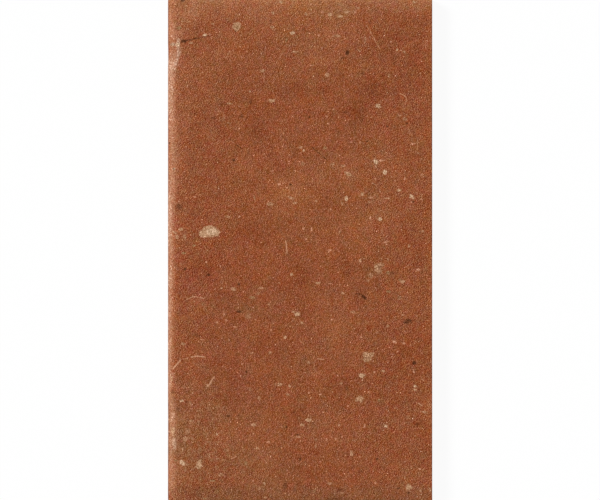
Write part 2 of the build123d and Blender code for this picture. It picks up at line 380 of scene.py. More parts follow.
# Painted highlights on the crests of chips, where the light catches them, laid in with the roll's wear:
# half their width in pixels, and the points they run through
crestHighlightLines = [
    (1.2, [(178.2, 40), (178, 47), (178.8, 52), (177.6, 57.5), (176, 62), (174.5, 65.5), (171.8, 67.5)]),
]

# Chips off the rolled edge: row, half length, reach inwards in pixels, and depth
edgeChips = [(55, 14, 11.0, 0.9 * millimetre), (425, 24, 8.0, 0.45 * millimetre)]

markShape = dict(
    outside=-9.0,  # what a mark's field holds far from any mark, in pixels
    far=99.0,  # where a face that carries no mark lies on one
    fleckRise=0.05 * millimetre,
    pitDepth=0.30 * millimetre,
    crackDepth=0.18 * millimetre,
    scratchDepth=0.05 * millimetre,
    fleckSlope=(0.0, 2.0),  # pixels inside a mark where its relief starts and is full
    pitSlope=(-0.6, 0.9),
    lineSlope=(-0.3, 0.7),
    chipCurve=1.2,  # power of a chip's fall towards the edge
    wearReach=(1.5, 0.5),  # widths from the edge where the wear and painted highlight start and are full
    crestReach=1.2,  # pixels past a crest's line that its painted highlight fades over
    rimShade=42.0,  # painted shade: levels off the outermost rim of the roll, which shines white when seen from above
    rimRed=8.0,  # levels that the painted shade on the rim is redder and yellower by
    rimYellow=8.0,
    rimReach=0.9,  # pixels
    edgeGlow=5.0,  # levels that the face is lighter by beside the roll: partly paler clay, partly painted light from the roll's highlight
    glowReach=14.0,  # pixels
    topPalingRows=24.0,  # paler band at the top end
    topPalingCurve=1.3,
    bottomGreyingRows=(482.0, 490.0),  # greyed band at the bottom end
)


# Share of the way from one value to another, held at both ends
def between(value, start, end):
    return np.clip((value - start) / (end - start), 0, 1)


# Smooth waves: a few seeded cosines of different directions and lengths, added up
def waves(x, y, height, lengths, seed):
    draw = np.random.default_rng(seed)
    total = np.zeros(np.shape(x))
    for length in lengths:
        way, phase = draw.uniform(0, 2 * np.pi, 2)
        total += np.cos(2 * np.pi * (x * np.cos(way) + y * np.sin(way)) / length + phase)
    return height * total / np.sqrt(len(lengths))


# Ovals as rows of numbers, unturned where no turn is written, with the turns in radians
def ovalRows(ovals):
    rows = np.array([(*oval, 0)[:5] for oval in ovals], float)
    rows[:, 4] = np.radians(rows[:, 4])
    return rows


# Where a place lies on an oval: along and across it from its middle, in halves of its two sides
def ovalPlace(column, row, middleX, middleY, width, height, turn):
    along = (column - middleX) * np.cos(turn) - (row - middleY) * np.sin(turn)
    across = (column - middleX) * np.sin(turn) + (row - middleY) * np.cos(turn)
    return along / (width / 2), across / (height / 2)


# Pixels inside an oval, scaled by its smaller half and negative outside, largest over all ovals
def ovalField(column, row, ovals):
    inside = np.full(column.shape, markShape["outside"])
    for oval in ovals:
        reach = np.hypot(*ovalPlace(column, row, *oval))
        inside = np.maximum(inside, (1 - reach) * min(oval[2:4]) / 2)
    return inside


# Straight runs of broken lines as rows of numbers: middle, direction, half length and half width
def lineRuns(lines):
    starts = np.array([start for halfWidth, points in lines for start in points[:-1]], float)
    ends = np.array([end for halfWidth, points in lines for end in points[1:]], float)
    halfWidths = np.array([[halfWidth] for halfWidth, points in lines for end in points[1:]])
    lengths = np.hypot(*(ends - starts).T)[:, None]
    return np.concatenate([(starts + ends) / 2, (ends - starts) / lengths, lengths / 2, halfWidths], 1)


# Where a place lies on a run: pixels along and across it from its middle
def runPlace(column, row, middleX, middleY, wayX, wayY):
    along = (column - middleX) * wayX + (row - middleY) * wayY
    across = (row - middleY) * wayX - (column - middleX) * wayY
    return along, across


# Pixels inside a run: half width less the distance to it, largest over all runs
def runField(column, row, runs):
    inside = np.full(column.shape, markShape["outside"])
    for *run, halfLength, halfWidth in runs:
        along, across = runPlace(column, row, *run)
        past = np.maximum(np.abs(along) - halfLength, 0)
        inside = np.maximum(inside, halfWidth - np.hypot(past, across))
    return inside


# Pixels inside a closed outline: the distance to its nearest side, negative where an odd ray says outside
def outlineField(column, row, points):
    nearest = -runField(column, row, lineRuns([(0.0, points + points[:1])]))
    inside = np.zeros(column.shape, bool)
    for start, end in zip(points, points[1:] + points[:1]):
        slope = (end[0] - start[0]) / ((end[1] - start[1]) or 1.0)
        inside ^= ((start[1] > row) != (end[1] > row)) & (column < start[0] + slope * (row - start[1]))
    return np.where(inside, nearest, -nearest)


# Sum of bells, each its levels * exp(-(distance over half size) squared)
def cloudField(column, row, bells):
    total = np.zeros(column.shape)
    for middleX, middleY, halfX, halfY, levels in bells:
        total += levels * np.exp(-((column - middleX) / halfX) ** 2 - ((row - middleY) / halfY) ** 2)
    return total


# Everything that the clay's colour reads from its place on the face
def faceFields(column, row):
    patches = np.stack([outlineField(column, row, outline) for look, outline in fleckOutlines])
    patchLooks = np.array([look for look, outline in fleckOutlines])
    wearRows, wearWidths, wearStrengths = np.array(edgeWearAndHighlight, float).T
    fromEdge = column - picture["tileLeft"]
    width = np.interp(row, wearRows, wearWidths)
    # wear of the roll, with the roll's highlight painted in
    wearAndHighlight = np.interp(row, wearRows, wearStrengths) * between(fromEdge / width, *markShape["wearReach"])
    # painted highlights on the crests of chips, laid into the wear
    crestHighlights = runField(column, row, lineRuns(crestHighlightLines))
    wearAndHighlight = np.maximum(wearAndHighlight, np.clip(crestHighlights + markShape["crestReach"], 0, 1))
    # painted light beside the roll, partly paler clay
    glow = markShape["edgeGlow"] * np.exp(-(fromEdge / markShape["glowReach"]) ** 2)
    # painted shade on the outermost rim of the roll
    rim = np.exp(-(fromEdge / markShape["rimReach"]) ** 2)
    return dict(
        patch=patches.max(0),
        patchLook=patchLooks[patches.argmax(0)],
        tone=cloudField(column, row, clouds["tone"]) + glow - markShape["rimShade"] * rim,
        redder=cloudField(column, row, clouds["redder"]) + markShape["rimRed"] * rim,
        yellower=cloudField(column, row, clouds["yellower"]) + markShape["rimYellow"] * rim,
        lime=cloudField(column, row, clouds["lime"]),
        wearAndHighlight=wearAndHighlight,
        topPaling=between(row, markShape["topPalingRows"], 0) ** markShape["topPalingCurve"],
        bottomGreying=between(row, *markShape["bottomGreyingRows"]),
    )


# The mark that each face is deepest in, judged at the face's middle
def ownMark(column, row, marks, inside):
    deepest = np.full(len(column), -np.inf)
    own = np.zeros(len(column), int)
    for number in range(len(marks)):
        depth = inside(column.mean(1), row.mean(1), marks[number:number + 1])
        own = np.where(depth > deepest, number, own)
        deepest = np.maximum(deepest, depth)
    return own


# Where the corners of each face lie on its own oval, with the oval's smaller half
def ovalCorners(column, row, ovals):
    own = ownMark(column, row, ovals, ovalField)
    chosen = ovals[own].T[..., None]
    along, across = ovalPlace(column, row, *chosen)
    half = np.broadcast_to(np.minimum(chosen[2], chosen[3]) / 2, along.shape)
    return np.stack([along, across, half], -1), own


# Where the corners of each face lie on its own run of a line, with the run's half length,
# and half the line's width there
def lineCorners(column, row, lines):
    runs = lineRuns(lines)
    own = ownMark(column, row, runs, runField)
    chosen = runs[own].T[..., None]
    along, across = runPlace(column, row, *chosen[:4])
    half = np.broadcast_to(chosen[4], along.shape)
    return np.stack([along, across, half], -1), runs[own, 5]


# Small marks are kept by the faces they touch, so that they are drawn finer than the mesh
def faceMarks(column, row):
    looks = np.array([fleckLook[name] for name in flecks for oval in flecks[name]])
    fleckPlace, own = ovalCorners(column, row, ovalRows(sum(flecks.values(), [])))
    crackPlace, crackWidth = lineCorners(column, row, darkLines)
    scratchPlace, scratchWidth = lineCorners(column, row, lightLines)
    places = dict(
        fleckPlace=fleckPlace,
        pitPlace=ovalCorners(column, row, ovalRows(pits))[0],
        smudgePlace=ovalCorners(column, row, ovalRows(smudges))[0],
        crackPlace=crackPlace,
        scratchPlace=scratchPlace,
    )
    return places, dict(fleckLook=looks[own], crackWidth=crackWidth, scratchWidth=scratchWidth)


# Height of the face above its plain form: waves, raised flecks, then holes, cracks, scratches and chips
def faceRelief(x, y, fields):
    column, row = inPicture(x, y)
    lengths = np.array(tileShape["waveLengths"]) * millimetre
    raised = np.maximum(fields["patch"], ovalField(column, row, ovalRows(sum(flecks.values(), []))))
    holes = ovalField(column, row, ovalRows(pits))
    relief = waves(x, y, tileShape["waveHeight"], lengths, tileShape["waveSeed"]) - tileShape["waveMargin"]
    relief += markShape["fleckRise"] * between(raised, *markShape["fleckSlope"])
    relief -= markShape["pitDepth"] * between(holes, *markShape["pitSlope"])
    for lines, depth in ((darkLines, "crackDepth"), (lightLines, "scratchDepth")):
        inside = runField(column, row, lineRuns(lines))
        relief -= markShape[depth] * between(inside, *markShape["lineSlope"])
    fromEdge = column - picture["tileLeft"]
    for middle, half, reach, depth in edgeChips:
        window = between(np.abs(row - middle), half, half / 3)
        window = window * window * (3 - 2 * window)
        relief -= depth * window * between(fromEdge, reach, 0) ** markShape["chipCurve"]
    return np.minimum(relief, 0)


# Face grid: the section carried along the rows, drawn in at both ends,
# then moved along its normals by the relief
def faceSkin():
    x, z, outX, outZ = sectionAcross(tileShape)
    y, inset, endTurn = rowsAlong(tileShape)
    nosed = x < 0
    plainX = x[:, None] - np.where(nosed, outX, 0)[:, None] * inset
    plainZ = z[:, None] - np.where(nosed, outZ, 1)[:, None] * inset
    plainY = np.broadcast_to(y, plainX.shape)
    leanEnd = np.broadcast_to(np.sin(endTurn), plainX.shape)
    normal = np.stack([outX[:, None] * np.cos(endTurn), leanEnd, outZ[:, None] * np.cos(endTurn)], -1)
    fields = faceFields(*inPicture(plainX, plainY))
    fade = between(high[0] - plainX, *tileShape["cutFade"])
    fade = fade * between((plainZ - low[2]) / (high[2] - low[2]), *tileShape["footFade"])
    relief = faceRelief(plainX, plainY, fields) * fade
    face = np.stack([plainX, plainY, plainZ], -1) + normal * relief[..., None]
    print("tile face", face.shape[:2])
    return face, endTurn, fields


# Once round the border of a grid, starting along its first row's corner
def borderOf(grid):
    return np.concatenate([grid[:, 0], grid[-1, 1:], grid[-2::-1, -1], grid[0, -2:0:-1]])


# Edges: rings let down from the face's border to the arris of the back, then drawn in by r - r cos a
# and let down to r - r sin a
def edgeSkirt(face, endTurn):
    cols, rows = face.shape[:2]
    edge = borderOf(face)
    numbers = borderOf(np.arange(cols * rows).reshape(cols, rows))
    ringTurn = endTurn[numbers % rows]
    onLeft = numbers < rows
    onCut = numbers >= (cols - 1) * rows
    onEnd = (numbers % rows == 0) | (numbers % rows == rows - 1)
    away = np.stack([
        np.where(onLeft, -np.cos(ringTurn), np.where(onCut & ~onEnd, 1.0, 0.0)),
        np.where(onLeft | onEnd, np.sin(ringTurn), 0.0),
    ], -1)
    arris = np.where(onCut, tileShape["cutArris"], tileShape["backArris"])
    rings = []
    for share in tileShape["skirtLevels"]:
        ring = edge.copy()
        ring[:, 2] += share * (low[2] + arris - edge[:, 2])
        rings.append(ring)
    foot = rings[-1]
    for turn in np.radians(tileShape["arrisTurns"]):
        ring = foot.copy()
        ring[:, :2] -= away * (arris * (1 - np.cos(turn)))[:, None]
        ring[:, 2] = low[2] + arris * (1 - np.sin(turn))
        rings.append(ring)
    print("tile edges", len(rings), "rings")
    return np.stack(rings), onCut


keyedBack = dict(
    pocket=15.0 * millimetre,
    rib=3.5 * millimetre,
    margin=6.0 * millimetre,
    depth=0.8 * millimetre,
    cornerCut=2.0 * millimetre,
    draft=np.radians(25),
    rim=3.0 * millimetre,  # plain band between the back's outline and the grid of pockets
)


# Middles of the pockets along a side, as many as fit inside the margins
def pocketMiddles(size, key):
    pitch = key["pocket"] + key["rib"]
    count = int((size - 2 * key["margin"] + key["rib"]) // pitch)
    return (np.arange(count) - (count - 1) / 2) * pitch


# Depth of the nearest key pocket: distance inside its eight sides over the draft's run,
# held at the full depth
def pocketDepth(x, y, key, middlesX, middlesY):
    aside = np.abs(x[..., None] - middlesX).min(-1)
    along = np.abs(y[..., None] - middlesY).min(-1)
    half = key["pocket"] / 2
    inCorner = (2 * half - key["cornerCut"] - aside - along) / np.sqrt(2)
    inside = np.minimum(half - np.maximum(aside, along), inCorner)
    return key["depth"] * np.clip(inside / (key["depth"] * np.tan(key["draft"])), 0, 1)


# Grid lines of the back: both rims, and each pocket's mouth, floor and cut corners
def backLines(middles, half, key):
    slant = key["depth"] * np.tan(key["draft"])
    side = key["pocket"] / 2
    offsets = np.array([0, slant, key["cornerCut"], key["cornerCut"] + slant / 2])
    marks = np.concatenate([offsets - side, (side - offsets)[::-1]])
    return np.concatenate([[-half + key["rim"]], (middles[:, None] + marks).ravel(), [half - key["rim"]]])


# Back grid: flat ribs, with the floor of each pocket lifted by its depth
def backSkin(key):
    middlesX = pocketMiddles(high[0] - low[0], key)
    middlesY = pocketMiddles(high[1] - low[1], key)
    x, y = np.meshgrid(backLines(middlesX, high[0], key), backLines(middlesY, high[1], key), indexing="ij")
    print("keyed back", len(middlesX), "by", len(middlesY), "pockets")
    return np.stack([x, y, low[2] + pocketDepth(x, y, key, middlesX, middlesY)], -1)


# Quads of a grid of vertex numbers, turned to face the way rows cross columns
def gridQuads(numbers):
    quads = np.stack([numbers[:-1, :-1], numbers[1:, :-1], numbers[1:, 1:], numbers[:-1, 1:]], -1)
    return quads.reshape(-1, 4)


# Triangles between two lines of vertices with the same ends:
# each step along one joins the vertex across from its middle
def zipLines(first, firstShare, second, secondShare):
    firstMiddle = (firstShare[:-1] + firstShare[1:]) / 2
    secondMiddle = (secondShare[:-1] + secondShare[1:]) / 2
    across = np.stack([first[:-1], second[np.searchsorted(secondMiddle, firstMiddle)], first[1:]], -1)
    back = np.stack([second[:-1], second[1:], first[np.searchsorted(firstMiddle, secondMiddle)]], -1)
    return np.concatenate([across, back])


# Triangles of the plain band between the last ring of the edges and the border of the back, side by side
def backRim(points, ring, ringGrid, border, borderGrid):
    sides = []
    ringEnds, borderEnds = [np.cumsum([0, c - 1, r - 1, c - 1, r - 1]) for c, r in (ringGrid, borderGrid)]
    for side in range(4):
        outer = ring[ringEnds[side]:ringEnds[side + 1] + 1]
        inner = border[borderEnds[side]:borderEnds[side + 1] + 1]
        outerPlace, innerPlace = points[outer, side % 2], points[inner, side % 2]
        sides.append(zipLines(outer, outerPlace / outerPlace[-1], inner, innerPlace / innerPlace[-1]))
    return np.concatenate(sides)


# Stores numbers on the points, corners or faces of a mesh, with a filler past those that are given
def store(mesh, name, domain, count, values, filler=0.0):
    kind, key = ("FLOAT_VECTOR", "vector") if values.ndim > 1 else ("FLOAT", "value")
    everywhere = np.full((count, *values.shape[1:]), filler, np.float32)
    everywhere[:len(values)] = values
    mesh.attributes.new(name, kind, domain).data.foreach_set(key, everywhere.ravel())


# The whole skin: face, edges and back in one closed mesh, with the face's fields stored on its points
def buildTile():
    face, endTurn, fields = faceSkin()
    rings, onCut = edgeSkirt(face, endTurn)
    back = backSkin(keyedBack)
    points = np.concatenate([face.reshape(-1, 3), rings.reshape(-1, 3), back.reshape(-1, 3)])
    starts = np.cumsum([0, face.size // 3, rings.size // 3])
    faceNumbers = np.arange(face.size // 3).reshape(face.shape[:2])
    ringNumbers = starts[1] + np.arange(rings.size // 3).reshape(rings.shape[:2])
    backNumbers = starts[2] + np.arange(back.size // 3).reshape(back.shape[:2])
    skirt = np.concatenate([borderOf(faceNumbers)[None], ringNumbers])
    skirt = np.concatenate([skirt, skirt[:, :1]], 1)
    border = borderOf(backNumbers)
    border = np.append(border, border[0])
    rim = backRim(points, skirt[-1], face.shape[:2], border, back.shape[:2])
    backQuads = gridQuads(backNumbers)[:, ::-1]
    quads = np.concatenate([gridQuads(faceNumbers), gridQuads(skirt), backQuads])

    mesh = bpy.data.meshes.new("clay_tile")
    faceStarts = np.concatenate([np.arange(len(quads)) * 4, len(quads) * 4 + np.arange(len(rim)) * 3])
    corners = np.concatenate([quads.ravel(), rim.ravel()])
    mesh.vertices.add(len(points))
    mesh.vertices.foreach_set("co", points.ravel())
    mesh.loops.add(len(corners))
    mesh.loops.foreach_set("vertex_index", corners)
    mesh.polygons.add(len(faceStarts))
    mesh.polygons.foreach_set("loop_start", faceStarts)
    smooth = np.arange(len(faceStarts)) < len(quads) - len(backQuads)
    mesh.polygons.foreach_set("use_smooth", smooth)
    mesh.update(calc_edges=True)
    mesh.validate()

    for name, values in fields.items():
        filler = markShape["outside"] if name == "patch" else 0.0
        store(mesh, name, "POINT", len(points), values.ravel(), filler)
    sawn = np.zeros(len(points))
    sawn[starts[1]:starts[2]] = np.tile(onCut, len(rings))
    store(mesh, "sawn", "POINT", len(points), sawn)
    bare = np.zeros(len(points))
    bare[starts[2]:] = 1.0
    bare[ringNumbers[-len(tileShape["arrisTurns"]):]] = 1.0
    store(mesh, "bare", "POINT", len(points), bare)
    faceCorners = points[gridQuads(faceNumbers)]
    places, numbers = faceMarks(*inPicture(faceCorners[..., 0], faceCorners[..., 1]))
    for name, values in places.items():
        store(mesh, name, "CORNER", len(corners), values.reshape(-1, 3), markShape["far"])
    for name, values in numbers.items():
        store(mesh, name, "FACE", len(faceStarts), values)
    tile = bpy.data.objects.new("clay_tile", mesh)
    bpy.context.scene.collection.objects.link(tile)
    print("tile mesh", len(points), "points", 2 * len(quads) + len(rim), "triangles")
    return tile


# Shader nodes: a value that is a socket is linked, and any other value is set
def put(tree, kind, sockets=None, **settings):
    node = tree.nodes.new("ShaderNode" + kind)
    for name, value in settings.items():
        setattr(node, name, value)
    for key, value in (sockets or {}).items():
        if isinstance(value, bpy.types.NodeSocket):
            tree.links.new(value, node.inputs[key])
        else:
            node.inputs[key].default_value = value
    return node


# One step of arithmetic
def maths(tree, operation, first, second=0.0, third=0.0):
    return put(tree, "Math", {0: first, 1: second, 2: third}, operation=operation).outputs[0]


# From one range to another, held at both ends
def spread(tree, value, start, end, to=(0.0, 1.0), smooth=True):
    kind = "SMOOTHSTEP" if smooth else "LINEAR"
    sockets = {"Value": value, "From Min": start, "From Max": end, "To Min": to[0], "To Max": to[1]}
    return put(tree, "MapRange", sockets, interpolation_type=kind).outputs["Result"]


# A pattern from 0 to 1 turned into levels about nought
def swing(tree, value, levels):
    return maths(tree, "MULTIPLY_ADD", value, levels, -levels / 2)


# Adds an amount to the levels of red, green and blue, in the shares given
def lean(tree, levels, amount, shares=(1.0, 1.0, 1.0)):
    return put(tree, "VectorMath", {0: amount, 1: shares, 2: levels}, operation="MULTIPLY_ADD").outputs[0]


# From the first levels to the second, by a share
def blend(tree, share, first, second):
    return put(tree, "Mix", {0: share, 4: first, 5: second}, data_type="VECTOR").outputs[1]


# A scale of colours, written in levels
def ramp(tree, value, stops):
    node = put(tree, "ValToRGB", {0: value})
    scale = node.color_ramp
    while len(scale.elements) < len(stops):
        scale.elements.new(0.5)
    for element, (place, levels) in zip(scale.elements, stops):
        element.position = place
        element.color = (*np.array(levels) / 255, 1.0)
    return put(tree, "VectorMath", {0: node.outputs[0], "Scale": 255.0}, operation="SCALE").outputs[0]


# Levels as they show on screen to linear light: (level / 255 + 0.055) / 1.055, held above 0.07,
# to the power 2.4
def toLight(tree, levels):
    sockets = {0: levels, 1: (1 / (255 * 1.055),) * 3, 2: (0.055 / 1.055,) * 3}
    share = put(tree, "VectorMath", sockets, operation="MULTIPLY_ADD").outputs[0]
    share = put(tree, "VectorMath", {0: share, 1: (0.07,) * 3}, operation="MAXIMUM").outputs[0]
    return put(tree, "Gamma", {"Color": share, "Gamma": 2.4}).outputs[0]


# A smooth pattern from 0 to 1
def noise(tree, place, size, detail=2.0, roughness=0.5):
    sockets = {"Vector": place, "Scale": 1 / size, "Detail": detail, "Roughness": roughness}
    return put(tree, "TexNoise", sockets).outputs["Fac"]


# Grains: how far from the middle of the nearest one, and two numbers of its own from 0 to 1
def grains(tree, place, size):
    node = put(tree, "TexVoronoi", {"Vector": place, "Scale": 1 / size})
    own = put(tree, "SeparateColor", {0: node.outputs["Color"]})
    return node.outputs["Distance"], own.outputs[0], own.outputs[1]


# The same place, turned and moved so that one pattern doesn't follow another
def moved(tree, place, shift, scale=(1.0, 1.0, 1.0)):
    sockets = {"Location": (shift, -shift, shift), "Rotation": (0.4, 0.3, shift), "Scale": scale}
    return put(tree, "Mapping", {"Vector": place, **sockets}).outputs[0]


# A number that is stored on the mesh
def field(tree, name):
    return put(tree, "Attribute", attribute_name=name).outputs["Fac"]


# The three parts of a place on a mark
def placeOf(tree, name):
    stored = put(tree, "Attribute", attribute_name=name + "Place").outputs["Vector"]
    return put(tree, "SeparateXYZ", {0: stored}).outputs


# Length of the flat way that two numbers make
def wayOut(tree, first, second):
    way = put(tree, "CombineXYZ", {0: first, 1: second}).outputs[0]
    return put(tree, "VectorMath", {0: way}, operation="LENGTH").outputs["Value"]


# Pixels inside the face's own oval: its smaller half times one less the way out from its middle
def insideOval(tree, name):
    along, across, half = placeOf(tree, name)
    return maths(tree, "MULTIPLY", maths(tree, "SUBTRACT", 1.0, wayOut(tree, along, across)), half)


# Pixels inside the face's own line: its half width less the distance to it
def insideLine(tree, name):
    along, across, half = placeOf(tree, name)
    past = maths(tree, "MAXIMUM", maths(tree, "SUBTRACT", maths(tree, "ABSOLUTE", along), half), 0.0)
    return maths(tree, "SUBTRACT", field(tree, name + "Width"), wayOut(tree, past, across))


# Colours are levels of red, green and blue out of 255, as they show on screen
clayLook = dict(
    middle=(139.9, 75.2, 41.2),
    towardsRed=(0.67, -0.33, -0.33),
    towardsYellow=(0.33, 0.33, -0.67),
    grain=0.5 * millimetre,  # size of a grain of the fired body
    grainLevels=120.0,
    grainShares=(0.97, 1.0, 1.0),  # of the grain's levels in red, green and blue
    litWay=(-0.13 * millimetre, 0.075 * millimetre, 0.0),  # towards the light, a third of a grain
    litLevels=222.0,
    litShares=(0.88, 1.0, 1.06),
    flake=0.5 * millimetre,  # size of the facets that break up worn and pale places
    sand=2.0 * millimetre,  # spacing of the pale sand
    sandReach=(0.20, 0.05),  # of that spacing, where a grain of sand ends and where it is full
    sandLevels=130.0,
    sandShares=(0.9, 1.0, 1.0),
    sandPower=2.0,  # the higher, the fewer bright grains of sand
    sandHeight=0.2,  # of a grain of sand over the grit
    mottling=[(1.4, 20.0), (7.0, 20.0), (30.0, 8.0)],  # size in millimetres, levels of light and dark
    reddening=[(2.4, 30.0), (8.0, 20.0)],  # the same, of red
    yellowing=[(2.2, 24.0), (9.0, 14.0)],  # and of yellow
    layerRough=0.55,
    topPaling=(21.0, 24.0, 22.0),  # levels that the paler band at the top end adds
    bottomGreying=(-6.0, 1.5, 3.0),  # levels that the greyed band adds
    lime=(156, 114, 80),  # film of lime in broken patches
    limeSize=2.6 * millimetre,
    limeReach=(0.48, 0.66),  # of the film's pattern, where it starts and is full
    limeMost=0.6,
    sparkleRough=(0.42, 0.62),  # roughness of the smoothest facet and of the roughest
    specular=0.06,
    gritHeight=0.18 * millimetre,
    gritSize=0.5 * millimetre,
    fleckScale=[
        (0.0, (144, 104, 68)), (0.15, (156, 107, 75)), (0.3, (164, 130, 104)), (0.4, (184, 126, 96)),
        (0.5, (206, 150, 120)), (0.65, (168, 121, 88)), (0.8, (182, 139, 104)), (1.0, (200, 163, 130)),
    ],
    fleckGrain=160.0,  # levels of the grain inside a fleck
    fleckFlakes=44.0,
    fleckCloud=50.0,
    fleckCloudSize=1.8 * millimetre,
    ragSize=1.1 * millimetre,  # bays in the outline of a mark
    ragPixels=2.6,
    ragFlakes=1.2,  # pixels that single facets add to them
    # pale colour of the worn roll, with its highlight painted in
    wornAndHighlight=(185, 146, 123),
    wornGrain=150.0,
    wornShares=(0.3, 1.0),  # least and most that one facet is worn
    glintBead=(226, 186, 160),  # pale grains on the worn roll, partly painted glints
    beadSize=1.3 * millimetre,
    beadChance=(1.35, 1.5),  # wear and luck together, where a grain starts to show and is full
    beadReach=(0.5, 0.25),
    beadMost=0.8,
    markGrain=80.0,  # levels of the grain in scratches, cracks, smudges and holes
    fleckShade=(108, 62, 36),  # painted shade round a fleck
    fleckShadeReach=(-1.4, -0.4),  # pixels inside the fleck, where the painted shade starts and is full
    fleckShadeMost=0.15,
    scratch=(192, 142, 110),
    crack=(80, 42, 20),
    smudge=(96, 52, 28),
    pit=(84, 45, 22),
    bareBody=(150, 92, 62),  # the back, as it left the kiln
    bareFlakes=40.0,
    bareClouds=40.0,
    bareCloudSize=11 * millimetre,
    bareMost=0.85,
    sawnBody=(152, 92, 60),  # the cut edge
    sawnFlakes=50.0,
    sawnLines=70.0,  # levels of the lines that the saw left
    sawnLineSize=0.8 * millimetre,
    sawnStretch=(1.0, 0.03, 1.0),  # draws the lines out along the edge
    sawnMost=0.85,
)

# Edges of the marks: pixels of raggedness, where the colour starts, where it is full, and its most
markEdges = dict(
    patch=(1.0, -0.6, 0.6, 0.92),
    fleck=(0.5, -0.45, 0.45, 0.92),
    scratch=(0.3, -0.4, 0.6, 0.9),
    crack=(0.7, -0.4, 0.6, 0.9),
    smudge=(1.2, -1.0, 1.5, 0.7),
    pit=(0.5, -0.6, 0.6, 0.95),
)


# Height of the grit at a place
def gritHeight(tree, place):
    return noise(tree, moved(tree, place, 0.5), clayLook["gritSize"], 0.0)


# Painted light and shade on the grit, as a side light would give it: the height behind a place less the
# height before it
def litGrain(tree, place):
    behind = put(tree, "VectorMath", {0: place, 1: clayLook["litWay"]}, operation="SUBTRACT").outputs[0]
    before = put(tree, "VectorMath", {0: place, 1: clayLook["litWay"]}, operation="ADD").outputs[0]
    rise = maths(tree, "SUBTRACT", gritHeight(tree, behind), gritHeight(tree, before))
    return maths(tree, "MULTIPLY", rise, clayLook["litLevels"] / 2)


# The clay's levels are a sum about its middle colour: grains, painted light and shade on the grit, sand,
# mottling and the clouds of the firing, among them the painted light beside the roll and the painted shade
# on its rim
def clayLevels(tree, place, grain, sandShare):
    grainy = swing(tree, grain, clayLook["grainLevels"])
    levels = lean(tree, clayLook["middle"], grainy, clayLook["grainShares"])
    # painted light and shade of the grit
    levels = lean(tree, levels, litGrain(tree, place), clayLook["litShares"])
    sand = maths(tree, "MULTIPLY", sandShare, clayLook["sandLevels"])
    levels = lean(tree, levels, sand, clayLook["sandShares"])
    layers = dict(  # shares of red, green and blue, and the pattern's detail
        mottling=((1.0, 1.0, 1.0), 2.0),
        reddening=(clayLook["towardsRed"], 1.0),
        yellowing=(clayLook["towardsYellow"], 1.0),
    )
    for shift, (layer, (shares, detail)) in enumerate(layers.items()):
        for size, amount in clayLook[layer]:
            layerPlace = moved(tree, place, shift + size / 10)
            pattern = noise(tree, layerPlace, size * millimetre, detail, clayLook["layerRough"])
            levels = lean(tree, levels, swing(tree, pattern, amount), shares)
    levels = lean(tree, levels, field(tree, "tone"))
    levels = lean(tree, levels, field(tree, "redder"), clayLook["towardsRed"])
    levels = lean(tree, levels, field(tree, "yellower"), clayLook["towardsYellow"])
    levels = lean(tree, levels, field(tree, "topPaling"), clayLook["topPaling"])
    return lean(tree, levels, field(tree, "bottomGreying"), clayLook["bottomGreying"])


# A mark's share of the colour, from the pixels inside it and a ragged edge
def markShare(tree, name, inside, ragged):
    ragging, start, end, most = markEdges[name]
    return spread(tree, maths(tree, "MULTIPLY_ADD", ragged, ragging, inside), start, end, (0.0, most))


